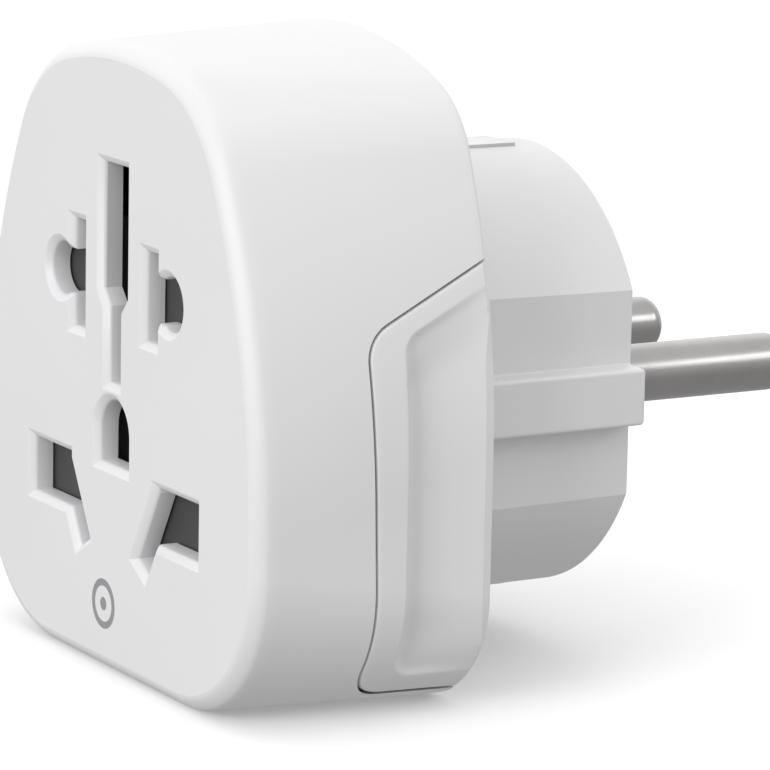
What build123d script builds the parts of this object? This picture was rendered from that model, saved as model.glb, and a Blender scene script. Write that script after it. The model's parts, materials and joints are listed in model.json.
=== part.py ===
from build123d import *
from math import atan2, degrees, hypot, radians, sqrt, tan
import os

os.makedirs("parts", exist_ok=True)

# Universal travel adapter: a universal three-pole socket face on the front, a round
# earthed European plug on the back.
#
# Frame: origin at the centre of the plug's end face, midway between the two pins.
# +Y runs out along the pins, the socket face looks along -Y, +Z is up, and seen from
# the front +X is to the right, which is the line side.

# ---------------------------------------------------------------- driving dimensions
# Plug, to the standard sheet of the earthed 16 A plug
pin_d = 4.8
pin_length = 19.0
pin_pitch = 19.0
earth_hole_rise = 10.0          # female earth contact above the pin line
plug_r = 18.5
plug_depth = 17.7               # the wall socket's recess is 17.5 deep
plug_flat_x = 16.4              # half width across the two side flats
plug_rib_x = 18.6               # the raised guide rib on each flat
plug_rib_h = 4.6
plug_taper = 0.3                # degrees of draft on the round wall

# Housing
housing_depth = 20.8
wall = 2.0
face_bevel = 0.9
rear_bevel = 0.5
crown_r = 42.0                  # shallow arc over the top
side_r = 60.0                   # long arc of each side, upright at its lower end

# Cross-sections at the socket face and at the rear edge; the rear one is squarer
front_half_w, rear_half_w = 24.4, 24.7
front_top, rear_top = 27.8, 28.9
bottom_z = -22.8
front_side_z, rear_side_z = -7.7, -1.8
front_shoulder_r, rear_shoulder_r = 13.0, 9.4     # where crown and side meet
front_corner_r, rear_corner_r = 13.0, 9.5

# Rows of the socket face
blade_z = 8.7                   # row of the flat blades and the round pins
uk_row_z = blade_z - 17.1
uk_earth_rise = 22.2            # earth pin above the row of the rectangular pins
us_blade_x = 6.35
euro_x = 9.5
us_earth_drop = 11.9
uk_x = 11.1
aperture_bevel = 0.5

# Openings of the socket face
slot_w = 2.1                    # every slot for a flat blade
line_slot_h, neutral_slot_h = 7.1, 8.7
uk_opening_w, uk_opening_h = 7.0, 4.5
slant_slot_len, slant_deg = 6.8, 30
slant_slot_x, slant_slot_drop = 6.8, 1.66         # centre of the slanting slot
euro_hole_r = 2.15
euro_bridge_h = 3.6             # neck between the round hole and the upright slot
us_earth_r = 2.65

# Mechanism
shutter_gap = 2.15              # front of the shutter, behind the socket face
shutter_t = 1.8
shutter_travel = 9.4
carrier_front, carrier_rear = 4.15, 14.0
strip_t = 0.8                   # busbars
leaf_t = 0.5                    # contact springs
screw_places = ((0.0, 23.3), (16.6, -16.7), (-16.6, -16.7))
screw_shank_r = 1.1
boss_r = 2.6

# ---------------------------------------------------------------- derived places
rear_y = -plug_depth
face_y = rear_y - housing_depth
plate_t = 1.6                   # rear plate between housing and plug
plate_y = rear_y - 0.2 - plate_t
end_wall = 2.2                  # end wall of the plug
seam_gap = 0.25
seam_slant = 27                 # degrees that the seam and the grip rise to the rear
seam_corner_r, grip_corner_r = 3.0, 1.6
lap = 1.2                       # hidden lip behind the seam
sides = ((1, "line"), (-1, "neutral"))


def behind_face(depth):
    """Y of a plane that lies depth behind the socket face."""
    return face_y + depth


def across(y):
    """Upright plane at y, seen from the front: x to the right, z up, normal -Y."""
    return Plane.XZ.offset(-y)


def between(front, rear, y):
    """Value at y of a size that runs evenly from the socket face to the rear edge."""
    return front + (rear - front) * (y - face_y) / housing_depth


def housing_section(y, inset=0.0):
    """Cross-section of the housing at y, drawn in by inset all round."""
    half_w = between(front_half_w, rear_half_w, y)
    top = between(front_top, rear_top, y)
    side_z = between(front_side_z, rear_side_z, y)
    corner = between(front_corner_r, rear_corner_r, y) - inset
    shoulder = between(front_shoulder_r, rear_shoulder_r, y) - inset
    side_x = half_w - side_r
    crown_z = top - crown_r
    crown, side = crown_r - inset, side_r - inset
    apart = hypot(side_x, side_z - crown_z)
    ux, uz = side_x / apart, (side_z - crown_z) / apart
    along = (crown**2 - side**2 + apart**2) / (2 * apart)
    off = sqrt(crown**2 - along**2)
    shoulder_x = ux * along + uz * off
    shoulder_z = crown_z + uz * along - ux * off
    sweep_deg = degrees(atan2(shoulder_z - side_z, shoulder_x - side_x))
    edge_x = half_w - inset
    with BuildSketch(Plane.XY) as section:
        with BuildLine():
            CenterArc((side_x, side_z), side, 0, sweep_deg)
            ThreePointArc((shoulder_x, shoulder_z), (0, top - inset), (-shoulder_x, shoulder_z))
            CenterArc((-side_x, side_z), side, 180 - sweep_deg, sweep_deg)
            Polyline(
                (-edge_x, side_z),
                (-edge_x, bottom_z + inset),
                (edge_x, bottom_z + inset),
                (edge_x, side_z),
            )
        make_face()
        fillet(section.vertices().group_by(Axis.Y)[-1], shoulder)
        fillet(section.vertices().group_by(Axis.Y)[0], corner)
    return section.sketch


def wing_outline(grow=0.0):
    """Side view of the rear shell's wings, a blade that ends in the slanting seam."""
    seam_top = (behind_face(10.1), blade_z - 1.15)
    seam_bottom = (behind_face(10.9), bottom_z + 1.5)
    rear_end = rear_y + 6
    rise = tan(radians(seam_slant)) * (rear_end - seam_top[0])
    with BuildSketch(Plane.XY) as outline:
        with BuildLine():
            FilletPolyline(
                (rear_end, seam_bottom[1]),
                seam_bottom,
                seam_top,
                (rear_end, seam_top[1] + rise),
                radius=seam_corner_r,
            )
            Line((rear_end, seam_top[1] + rise), (rear_end, seam_bottom[1]))
        make_face()
        if grow:
            offset(amount=grow)
    return outline.sketch


def grip_outline():
    """Side view of the grip hollow in each wing, open to the rear."""
    front = behind_face(13.3)
    rear_end = rear_y + 4
    top = blade_z - 1.4
    low = bottom_z + 3.5
    rise = tan(radians(seam_slant)) * (rear_end - front)
    with BuildSketch(Plane.XY) as outline:
        with BuildLine():
            FilletPolyline(
                (rear_end, low),
                (front, low),
                (front, top),
                (rear_end, top + rise),
                radius=grip_corner_r,
            )
            Line((rear_end, top + rise), (rear_end, low))
        make_face()
    return outline.sketch


def opening_uk_au(side, grow=0.0):
    """Rectangular opening with the slanting blade slot that runs down from it."""
    with BuildSketch(Plane.XY) as opening:
        with Locations((side * uk_x, uk_row_z)):
            Rectangle(uk_opening_w, uk_opening_h)
        with Locations((side * slant_slot_x, uk_row_z - slant_slot_drop)):
            Rectangle(slot_w, slant_slot_len, rotation=-slant_deg * side)
        if grow:
            offset(amount=grow, kind=Kind.INTERSECTION)
    return opening.sketch


def opening_euro_us(side, grow=0.0):
    """Round pin hole merged with the upright blade slot; the neutral slot is taller."""
    slot_h = line_slot_h if side > 0 else neutral_slot_h
    with BuildSketch(Plane.XY) as opening:
        with Locations((side * us_blade_x, blade_z)):
            Rectangle(slot_w, slot_h)
        with Locations((side * euro_x, blade_z)):
            Circle(euro_hole_r)
        with Locations((side * (us_blade_x + euro_x) / 2, blade_z)):
            Rectangle(euro_x - us_blade_x, euro_bridge_h)
        if grow:
            offset(amount=grow, kind=Kind.INTERSECTION)
    return opening.sketch


def opening_earth_slot(grow=0.0):
    """Wide slot for the rectangular earth pin that narrows to a blade slot below."""
    wide, narrow = 2.2, slot_w / 2
    top, shelf, neck, low = (blade_z + rise for rise in (9.6, -0.5, -1.8, -7.9))
    with BuildSketch(Plane.XY) as opening:
        with BuildLine():
            Polyline((0, top), (wide, top), (wide, shelf), (narrow, neck), (narrow, low), (0, low))
            mirror(about=Plane.YZ)
        make_face()
        if grow:
            offset(amount=grow, kind=Kind.INTERSECTION)
    return opening.sketch


def opening_us_earth(grow=0.0):
    """Arched hole, flat at the bottom, for the round or U-shaped earth pin."""
    arch_r = us_earth_r + grow
    centre = blade_z - us_earth_drop
    with BuildSketch(Plane.XY) as opening:
        with Locations((0, centre)):
            Circle(arch_r)
        with Locations((0, centre - arch_r / 2)):
            Rectangle(2 * arch_r, arch_r)
    return opening.sketch


def socket_openings(grow=0.0):
    """Every opening of the socket face, one outline each."""
    openings = [opening_earth_slot(grow), opening_us_earth(grow)]
    for side, _ in sides:
        openings += [opening_uk_au(side, grow), opening_euro_us(side, grow)]
    return openings


# ---------------------------------------------------------------- forms shared by the shells
# Outer form of the whole housing, with the face bevel and a small rear bevel
with BuildPart() as housing_form:
    for y, inset in (
        (face_y, face_bevel),
        (face_y + face_bevel, 0),
        (rear_y - rear_bevel, 0),
        (rear_y, rear_bevel),
    ):
        with BuildSketch(across(y)):
            add(housing_section(y, inset))
    loft(ruled=True)

# Hollow behind the socket face, open to the rear
with BuildPart() as cavity_form:
    for y in (behind_face(wall), rear_y + 1):
        with BuildSketch(across(y)):
            add(housing_section(y, wall))
    loft(ruled=True)

# The wings are a little thicker, so that their hidden lip is one piece with them
with BuildPart() as wing_cavity_form:
    for y in (behind_face(wall), plate_y):
        with BuildSketch(across(y)):
            add(housing_section(y, wall + 0.3))
    loft(ruled=True)

# Lip that laps behind the front shell's wall along the seam
with BuildPart() as lip_form:
    for y in (behind_face(8), plate_y):
        with BuildSketch(across(y)):
            add(housing_section(y, wall + 0.08))
    loft(ruled=True)

with BuildPart() as lip_core:
    for y in (behind_face(7), rear_y):
        with BuildSketch(across(y)):
            add(housing_section(y, wall + 1.1))
    loft(ruled=True)

# Floor of the grip hollow: deepest just behind its front edge, rising to the rear
with BuildPart() as grip_core:
    for depth, inset in ((12.8, 1.25), (14.6, 1.3), (16.6, 1.05), (18.8, 0.6), (21.2, 0.1)):
        with BuildSketch(across(behind_face(depth))):
            add(housing_section(behind_face(depth), inset))
    loft(ruled=True)

with BuildPart() as grip_cutter:
    with BuildSketch(Plane.YZ):
        add(grip_outline())
    extrude(amount=30, both=True)
    add(grip_core.part, mode=Mode.SUBTRACT)

with BuildPart() as wing_prism:
    with BuildSketch(Plane.YZ):
        add(wing_outline())
    extrude(amount=40, both=True)

with BuildPart() as wing_prism_wide:
    with BuildSketch(Plane.YZ):
        add(wing_outline(seam_gap))
    extrude(amount=40, both=True)

with BuildPart() as lap_prism:
    with BuildSketch(Plane.YZ):
        add(wing_outline(lap))
    extrude(amount=40, both=True)

# ---------------------------------------------------------------- front shell
boss_end = behind_face(17.0)

with BuildPart() as front_shell:
    add(housing_form.part)
    add(cavity_form.part, mode=Mode.SUBTRACT)
    add(wing_prism_wide.part, mode=Mode.SUBTRACT)
    with BuildSketch(across(face_y)):
        add(socket_openings())
    extrude(amount=-wall, mode=Mode.SUBTRACT)
    for mouth, throat in zip(socket_openings(aperture_bevel), socket_openings()):
        with BuildSketch(across(face_y)):
            add(mouth)
        with BuildSketch(across(face_y + aperture_bevel)):
            add(throat)
        loft(ruled=True, mode=Mode.SUBTRACT)
    with BuildSketch(across(behind_face(wall))):
        with Locations(*screw_places):
            Circle(boss_r)
    extrude(amount=-(boss_end - behind_face(wall)))
    with BuildSketch(across(boss_end)):
        with Locations(*screw_places):
            Circle(screw_shank_r + 0.05)
    extrude(amount=boss_end - behind_face(6), mode=Mode.SUBTRACT)
front_shell.part.label = "front_shell"
export_step(front_shell.part, "parts/front_shell.step")

# ---------------------------------------------------------------- rear shell
pin_places = ((pin_pitch / 2, 0), (-pin_pitch / 2, 0))
clip_w, clip_t = 4.4, 0.6
clip_seat = plug_r - 0.55       # underside of the earth clips, from the plug's axis
clip_groove_t = 1.0
clip_end_y = -2.9
plug_hollow_r = 16.2
pin_boss_y = -end_wall - 4.0
pin_boss_r, earth_boss_r = 4.0, 4.6
pin_root_r = 2.2                # the pin's root, held in the end wall
pin_mouth = 0.1                 # the hole opens to the pin's full diameter at the face
tube_r, tube_bore_r = 3.2, 2.45
screw_head_r, screw_head_h = 2.2, 1.6
head_seat_y = rear_y - 2.2
pillar_r = 3.0                  # round each housing screw
post_places, post_r = ((16, blade_z + 2), (-16, blade_z + 2)), 1.5
relief_w, relief_h, relief_depth = 4.6, 8.0, 4.3
relief_z = 14.2
fit = 0.02                      # clearance of a part held firmly in a hole

with BuildPart() as lip:
    add(lip_form.part)
    add(lip_core.part, mode=Mode.SUBTRACT)
    add(lap_prism.part, mode=Mode.INTERSECT)
    with BuildSketch(across(boss_end)):
        with Locations(*screw_places):
            Circle(boss_r + 0.3)
    extrude(amount=20, mode=Mode.SUBTRACT)

with BuildPart() as rear_shell:
    add(housing_form.part)
    add(wing_prism.part, mode=Mode.INTERSECT)
    add(wing_cavity_form.part, mode=Mode.SUBTRACT)
    add(grip_cutter.part, mode=Mode.SUBTRACT)
    add(lip.part)
    # rear plate, seated inside the front shell's rim
    with BuildSketch(across(plate_y)):
        add(housing_section(rear_y, wall + seam_gap))
    extrude(amount=-plate_t)
    # round plug body with its side flats and guide ribs
    with BuildSketch(across(plate_y)):
        Circle(plug_r)
    extrude(amount=plate_y, taper=plug_taper)
    fillet(rear_shell.faces().sort_by(Axis.Y)[-1].edges(), 0.5)
    with BuildSketch(across(rear_y)):
        with Locations((plug_flat_x + 5, 0), (-plug_flat_x - 5, 0)):
            Rectangle(10, 2 * plug_r)
    extrude(amount=-plug_depth, mode=Mode.SUBTRACT)
    with BuildSketch(across(plate_y)):
        Rectangle(2 * plug_rib_x, plug_rib_h)
    extrude(amount=plate_y)
    # hollow of the plug, open to the housing
    with BuildSketch(across(plate_y)):
        Circle(plug_hollow_r)
        Rectangle(2 * plug_flat_x - 3.6, 2 * plug_r, mode=Mode.INTERSECT)
    extrude(amount=plate_y + end_wall, mode=Mode.SUBTRACT)
    # relief for the tip of a long earth pin, up to the groove of the top clip
    with BuildSketch(across(plate_y)):
        with Locations((0, relief_z)):
            Rectangle(relief_w, relief_h)
    extrude(amount=-relief_depth, mode=Mode.SUBTRACT)
    # bosses that hold the pins and the earth tube, then their holes
    with BuildSketch(across(pin_boss_y)):
        with Locations(*pin_places):
            Circle(pin_boss_r)
        with Locations((0, earth_hole_rise)):
            Circle(earth_boss_r)
    extrude(amount=pin_boss_y + end_wall / 2)
    with BuildSketch(across(pin_boss_y)):
        with Locations(*pin_places):
            Circle(pin_root_r + fit)
        with Locations((0, earth_hole_rise)):
            Circle(tube_bore_r + 0.3)
    extrude(amount=pin_boss_y, mode=Mode.SUBTRACT)
    with BuildSketch(across(-pin_mouth)):
        with Locations(*pin_places):
            Circle(pin_d / 2 + fit)
    extrude(amount=-pin_mouth, mode=Mode.SUBTRACT)
    with BuildSketch(across(pin_boss_y)):
        with Locations((0, earth_hole_rise)):
            Circle(tube_r + 0.05)
    extrude(amount=pin_boss_y + end_wall, mode=Mode.SUBTRACT)
    # grooves for the two earth clips, cut through the plate into the housing
    with BuildSketch(across(plate_y)):
        for up in (1, -1):
            with Locations((0, up * (clip_seat - fit + clip_groove_t / 2))):
                Rectangle(clip_w + 0.1, clip_groove_t)
    extrude(amount=plate_y - clip_end_y - 0.1, mode=Mode.SUBTRACT)
    # screw pillars with sunk heads, and posts that hold the contact carrier
    with BuildSketch(across(boss_end)):
        with Locations(*screw_places):
            Circle(pillar_r)
    extrude(amount=boss_end - plate_y)
    with BuildSketch(across(behind_face(carrier_rear))):
        with Locations(*post_places):
            Circle(post_r)
    extrude(amount=behind_face(carrier_rear) - plate_y)
    with BuildSketch(across(boss_end)):
        with Locations(*screw_places):
            Circle(screw_shank_r + 0.15)
    extrude(amount=boss_end - rear_y, mode=Mode.SUBTRACT)
    with BuildSketch(across(head_seat_y)):
        with Locations(*screw_places):
            Circle(screw_head_r + 0.15)
    extrude(amount=head_seat_y - rear_y, mode=Mode.SUBTRACT)
rear_shell.part.label = "rear_shell"
export_step(rear_shell.part, "parts/rear_shell.step")

with BuildPart() as housing_screws:
    with BuildSketch(across(behind_face(7))):
        with Locations(*screw_places):
            Circle(screw_shank_r)
    extrude(amount=behind_face(7) - head_seat_y)
    with BuildSketch(across(head_seat_y)):
        with Locations(*screw_places):
            Circle(screw_head_r)
    extrude(amount=-screw_head_h)
    # cross recess in each head
    with BuildSketch(across(head_seat_y + screw_head_h)):
        with Locations(*screw_places):
            Rectangle(2.4, 0.6)
            Rectangle(0.6, 2.4)
    extrude(amount=0.9, mode=Mode.SUBTRACT)
housing_screws.part.label = "housing_screws"
export_step(housing_screws.part, "parts/housing_screws.step")

# ---------------------------------------------------------------- shutter
centre_gap = 3.5                # half width left free for the earth contacts
cover_x = 12.2                  # the upper cover reaches this far out
stile_x = 15.4
spring_x, spring_r, wire_r = 13.6, 0.95, 0.17
spring_seat_z = blade_z - 3.4
spring_stop_z = blade_z + 12.0
spring_y = behind_face(3.25)


def slab(side, x0, x1, z0, z1, mode=Mode.ADD):
    """Rectangle between two corners, on the line side or mirrored to the neutral side."""
    with Locations((side * (x0 + x1) / 2, (z0 + z1) / 2)):
        Rectangle(x1 - x0, z1 - z0, mode=mode)


cover_low, cover_high = blade_z - 4.9, blade_z + 4.9
window_low = cover_low - 9.2
strip_low = window_low - 9.2
shutter_foot_z = strip_low - 3.9

with BuildPart() as shutter:
    with BuildSketch(across(behind_face(shutter_gap))):
        for side, _ in sides:
            slab(side, centre_gap, cover_x, cover_low, cover_high)
            slab(side, centre_gap, centre_gap + 1.4, window_low, cover_low)
            slab(side, cover_x, stile_x, window_low, spring_seat_z)
            slab(side, centre_gap, stile_x, strip_low, window_low)
            slab(side, centre_gap, centre_gap + 3.0, shutter_foot_z, strip_low)
            with Locations((side * stile_x, strip_low)):
                Rectangle(5, 5, rotation=45, mode=Mode.SUBTRACT)
        with Locations((0, strip_low - 2.4)):
            Rectangle(2 * centre_gap + 0.2, 3.0)
    extrude(amount=-shutter_t)
    # ramps that the pins push on, along the lower edge of each cover
    for side, _ in sides:
        with BuildSketch(Plane.YZ):
            for low in (cover_low, strip_low):
                front = behind_face(shutter_gap)
                with BuildLine():
                    Polyline((front, low), (front + 1.3, low), (front, low + 1.8), close=True)
                make_face()
        extrude(amount=side * cover_x, mode=Mode.SUBTRACT)
shutter.part.label = "shutter"
export_step(shutter.part, "parts/shutter.step")

for side, hand in ((1, "right"), (-1, "left")):
    with BuildPart() as shutter_spring:
        with BuildLine():
            coil = Helix(
                pitch=1.4,
                height=spring_stop_z - spring_seat_z - 2 * wire_r,
                radius=spring_r,
                center=(side * spring_x, spring_y, spring_seat_z + wire_r),
            )
        with BuildSketch(Plane(origin=coil @ 0, z_dir=coil % 0)):
            Circle(wire_r)
        sweep()
    shutter_spring.part.label = f"shutter_spring_{hand}"
    export_step(shutter_spring.part, f"parts/shutter_spring_{hand}.step")

# ---------------------------------------------------------------- contact carrier
tail_recess = 0.8
clip_rivets = ((0, 19.5), (0, -16.5))
clip_rivet_r, clip_rivet_head_r = 0.5, 0.8
clip_leg = 2.35

with BuildPart() as contact_carrier:
    with BuildSketch(across(behind_face(carrier_front))):
        add(housing_section(behind_face(carrier_front), wall + 1.5))
        add(opening_earth_slot(0.75), mode=Mode.SUBTRACT)
        add(opening_us_earth(0.95), mode=Mode.SUBTRACT)
        for side, _ in sides:
            add(opening_uk_au(side, 1.0), mode=Mode.SUBTRACT)
            slab(side, 8.3, 12.7, uk_row_z + 2, uk_row_z + 3.7, Mode.SUBTRACT)
            slab(side, 4.7, 12.9, blade_z - 6.0, blade_z + 5.3, Mode.SUBTRACT)
        with Locations(*screw_places):
            Circle(boss_r + 0.3, mode=Mode.SUBTRACT)
    extrude(amount=carrier_front - carrier_rear)
    # grooves for the shutter springs, closed at the top by a stop lug
    with BuildSketch(across(behind_face(carrier_front))):
        for side, _ in sides:
            slab(side, spring_x - 1.25, spring_x + 1.4, spring_seat_z - 0.5, spring_stop_z)
    extrude(amount=-0.7, mode=Mode.SUBTRACT)
    with BuildSketch(across(behind_face(wall + 0.1))):
        for side, _ in sides:
            slab(side, cover_x + 0.4, spring_x + 0.3, spring_stop_z, spring_stop_z + 1.4)
            # side rail and foot stop of the shutter
            slab(side, stile_x + 0.15, stile_x + 1.3, window_low + 0.5, cover_high)
            slab(side, centre_gap, centre_gap + 2.8, shutter_foot_z - 1.25, shutter_foot_z - 0.05)
    extrude(amount=wall + 0.1 - carrier_front)
    # recesses in the back for the riveted tails of the pins and of the earth clips
    with BuildSketch(across(behind_face(carrier_rear))):
        with Locations(*pin_places):
            Circle(2.4)
        with Locations(*clip_rivets):
            Circle(clip_rivet_head_r + 0.4)
    extrude(amount=tail_recess, mode=Mode.SUBTRACT)
contact_carrier.part.label = "contact_carrier"
export_step(contact_carrier.part, "parts/contact_carrier.step")

# ---------------------------------------------------------------- line and neutral side
contact_front, contact_rear = 5.5, 12.5
strip_front = carrier_rear                      # busbars lie on the back of the carrier
strip_rear = strip_front + strip_t
rivet_depth = 9.5
rivet_r, rivet_head_r = 0.6, 1.0
upper_base_z = blade_z - 4.7
lower_leaf_z = uk_row_z + 2.35
lower_rivet_x = 10.5

for side, pole in sides:
    pin_x = side * pin_pitch / 2
    # spring clip for flat blades and round pins, a channel open at the top
    with BuildPart() as upper_contact:
        with BuildSketch(across(behind_face(contact_front))):
            with BuildLine():
                Polyline(
                    (side * 5.35, blade_z + 3.6),
                    (side * 5.35, upper_base_z),
                    (side * 12.2, upper_base_z),
                    (side * 12.2, blade_z + 3.6),
                )
            trace(line_width=leaf_t)
        extrude(amount=contact_front - contact_rear)
        with BuildSketch(Plane.XY.offset(upper_base_z)):
            with Locations((pin_x, behind_face(rivet_depth))):
                Circle(rivet_r)
        extrude(amount=1, both=True, mode=Mode.SUBTRACT)
    upper_contact.part.label = f"{pole}_upper_contact"
    export_step(upper_contact.part, f"parts/{pole}_upper_contact.step")

    # spring clip wrapped round the rectangular opening and its slanting slot
    with BuildPart() as lower_contact:
        with BuildSketch(across(behind_face(contact_front))):
            with BuildLine():
                Polyline(
                    (side * 4.15, uk_row_z - 4.05),
                    (side * 7.85, lower_leaf_z),
                    (side * 14.6, lower_leaf_z),
                    (side * 14.6, uk_row_z - 2.35),
                    (side * 7.67, uk_row_z - 2.35),
                    (side * 6.05, uk_row_z - 5.15),
                )
            trace(line_width=leaf_t)
        extrude(amount=contact_front - contact_rear)
        with BuildSketch(Plane.XY.offset(lower_leaf_z)):
            with Locations((side * lower_rivet_x, behind_face(rivet_depth))):
                Circle(rivet_r)
        extrude(amount=1, both=True, mode=Mode.SUBTRACT)
    lower_contact.part.label = f"{pole}_lower_contact"
    export_step(lower_contact.part, f"parts/{pole}_lower_contact.step")

    # busbar: plate behind the carrier with one tab forward to each clip
    tab_top = upper_base_z - leaf_t / 2
    tab_low = lower_leaf_z + leaf_t / 2
    with BuildPart() as busbar:
        with BuildSketch(across(behind_face(strip_front))):
            slab(side, 7.5, 12.0, tab_low, tab_top)
            with Locations((pin_x, 0)):
                Circle(1.5, mode=Mode.SUBTRACT)
        extrude(amount=-strip_t)
        with BuildSketch(across(behind_face(6.5))):
            slab(side, 8.0, 11.0, tab_top - leaf_t, tab_top)
            slab(side, 8.8, 12.0, tab_low, tab_low + leaf_t)
        extrude(amount=6.5 - strip_rear)
        with BuildSketch(Plane.XY):
            with Locations((pin_x, behind_face(rivet_depth))):
                Circle(rivet_r)
        extrude(amount=tab_top, mode=Mode.SUBTRACT)
        with BuildSketch(Plane.XY):
            with Locations((side * lower_rivet_x, behind_face(rivet_depth))):
                Circle(rivet_r)
        extrude(amount=tab_low, mode=Mode.SUBTRACT)
    busbar.part.label = f"{pole}_busbar"
    export_step(busbar.part, f"parts/{pole}_busbar.step")

    # turned pin: tail through the busbar, shank, collar behind the boss, solid pin
    with BuildPart() as pin:
        for y0, y1, radius in (
            (behind_face(strip_front) - 0.6, behind_face(strip_front), 2.1),
            (behind_face(strip_front), behind_face(strip_rear), 1.45),
            (behind_face(strip_rear), pin_boss_y - 1.2, 1.9),
            (pin_boss_y - 1.2, pin_boss_y, 3.4),
            (pin_boss_y, 0, pin_root_r),
            (0, pin_length, pin_d / 2),
        ):
            with BuildSketch(across(y0)):
                with Locations((pin_x, 0)):
                    Circle(radius)
            extrude(amount=y0 - y1)
        fillet(pin.edges().sort_by(Axis.Y)[-1], 1.5)
    pin.part.label = f"{pole}_pin"
    export_step(pin.part, f"parts/{pole}_pin.step")

    # two rivets; the lower one is flush, because a pin passes close under it
    with BuildPart() as rivets:
        for x, z0, z1, radius in (
            (pin_x, tab_top - leaf_t, tab_top + leaf_t, rivet_r),
            (pin_x, tab_top + leaf_t, tab_top + leaf_t + 0.3, rivet_head_r),
            (pin_x, tab_top - leaf_t - 0.3, tab_top - leaf_t, rivet_head_r),
            (side * lower_rivet_x, tab_low - leaf_t, tab_low + leaf_t, rivet_r),
            (side * lower_rivet_x, tab_low + leaf_t, tab_low + leaf_t + 0.3, rivet_head_r),
        ):
            with BuildSketch(Plane.XY.offset(z0)):
                with Locations((x, behind_face(rivet_depth))):
                    Circle(radius)
            extrude(amount=z1 - z0)
    rivets.part.label = f"{pole}_rivets"
    export_step(rivets.part, f"parts/{pole}_rivets.step")

# ---------------------------------------------------------------- earth side
with BuildPart() as earth_upper_contact:
    with BuildSketch(across(behind_face(contact_front))):
        with BuildLine():
            Polyline(
                (-2.45, blade_z + 9.5),
                (-2.45, blade_z - 0.75),
                (-1.3, blade_z - 2.1),
                (-1.3, blade_z - 8.3),
                (1.3, blade_z - 8.3),
                (1.3, blade_z - 2.1),
                (2.45, blade_z - 0.75),
                (2.45, blade_z + 9.5),
            )
        trace(line_width=leaf_t)
    extrude(amount=contact_front - strip_front)
earth_upper_contact.part.label = "earth_upper_contact"
export_step(earth_upper_contact.part, "parts/earth_upper_contact.step")

with BuildPart() as earth_lower_contact:
    with BuildSketch(across(behind_face(contact_front))):
        with BuildLine():
            Polyline(
                (-2.78, blade_z - 10.2),
                (-2.78, blade_z - 14.9),
                (2.78, blade_z - 14.9),
                (2.78, blade_z - 10.2),
            )
        trace(line_width=leaf_t)
    extrude(amount=contact_front - strip_front)
earth_lower_contact.part.label = "earth_lower_contact"
export_step(earth_lower_contact.part, "parts/earth_lower_contact.step")

strap_x, strap_t, strap_h = 3.0, 0.6, 5.4
tube_rear_y = -14.5

with BuildPart() as earth_busbar:
    with BuildSketch(across(behind_face(strip_front))):
        with Locations((0, blade_z - 2.2)):
            Rectangle(8.4, 28.0)
        with Locations((0, (blade_z - 16.2 - clip_seat) / 2)):
            Rectangle(4.0, blade_z - 16.2 + clip_seat)
        add(opening_earth_slot(), mode=Mode.SUBTRACT)
        add(opening_us_earth(), mode=Mode.SUBTRACT)
        with Locations(*clip_rivets):
            Circle(clip_rivet_r, mode=Mode.SUBTRACT)
    extrude(amount=-strip_t)
earth_busbar.part.label = "earth_busbar"
export_step(earth_busbar.part, "parts/earth_busbar.step")

# Side earth clips: a leg riveted to the busbar, and a strip along the outside of the plug
for up, place in ((1, "top"), (-1, "bottom")):
    leg_up = 1 if up > 0 else -1
    with BuildPart() as earth_clip:
        with BuildSketch(Plane.YZ):
            y0 = behind_face(strip_rear)
            z0 = up * clip_seat
            z1 = up * (clip_seat + clip_t)
            leg_z = z0 + clip_leg
            with BuildLine():
                Polyline(
                    (y0, min(z0, z1)),
                    (clip_end_y, min(z0, z1)),
                    (clip_end_y, max(z0, z1)),
                    (y0 + clip_t, max(z0, z1)),
                    (y0 + clip_t, leg_z),
                    (y0, leg_z),
                    close=True,
                )
            make_face()
        extrude(amount=clip_w / 2, both=True)
        with BuildSketch(across(y0)):
            with Locations(*clip_rivets):
                Circle(clip_rivet_r)
        extrude(amount=-2, mode=Mode.SUBTRACT)
    earth_clip.part.label = f"earth_clip_{place}"
    export_step(earth_clip.part, f"parts/earth_clip_{place}.step")

with BuildPart() as earth_rivets:
    for depth0, depth1, radius in (
        (strip_front - 0.4, strip_front, clip_rivet_head_r),
        (strip_front, strip_rear + clip_t, clip_rivet_r),
        (strip_rear + clip_t, strip_rear + clip_t + 0.4, clip_rivet_head_r),
    ):
        with BuildSketch(across(behind_face(depth0))):
            with Locations(*clip_rivets):
                Circle(radius)
        extrude(amount=depth0 - depth1)
earth_rivets.part.label = "earth_rivets"
export_step(earth_rivets.part, "parts/earth_rivets.step")

# Female earth contact of the plug, slit so that it grips, and the strap that feeds it
with BuildPart() as earth_tube:
    with BuildSketch(across(tube_rear_y)):
        with Locations((0, earth_hole_rise)):
            Circle(tube_r)
            Circle(tube_bore_r, mode=Mode.SUBTRACT)
    extrude(amount=tube_rear_y + end_wall)
    with BuildSketch(across(-10)):
        with Locations((0, earth_hole_rise)):
            Rectangle(0.5, 8)
    extrude(amount=-10 + end_wall, mode=Mode.SUBTRACT)
earth_tube.part.label = "earth_tube"
export_step(earth_tube.part, "parts/earth_tube.step")

with BuildPart() as earth_strap:
    with BuildSketch(Plane.XY.offset(earth_hole_rise - strap_h / 2)):
        with BuildLine():
            Polyline(
                (strap_x, behind_face(strip_rear)),
                (strap_x + strap_t, behind_face(strip_rear)),
                (strap_x + strap_t, tube_rear_y),
                (-2.6, tube_rear_y),
                (-2.6, tube_rear_y - strap_t),
                (strap_x, tube_rear_y - strap_t),
                close=True,
            )
        make_face()
    extrude(amount=strap_h)
earth_strap.part.label = "earth_strap"
export_step(earth_strap.part, "parts/earth_strap.step")
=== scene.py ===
import json
import math

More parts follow.
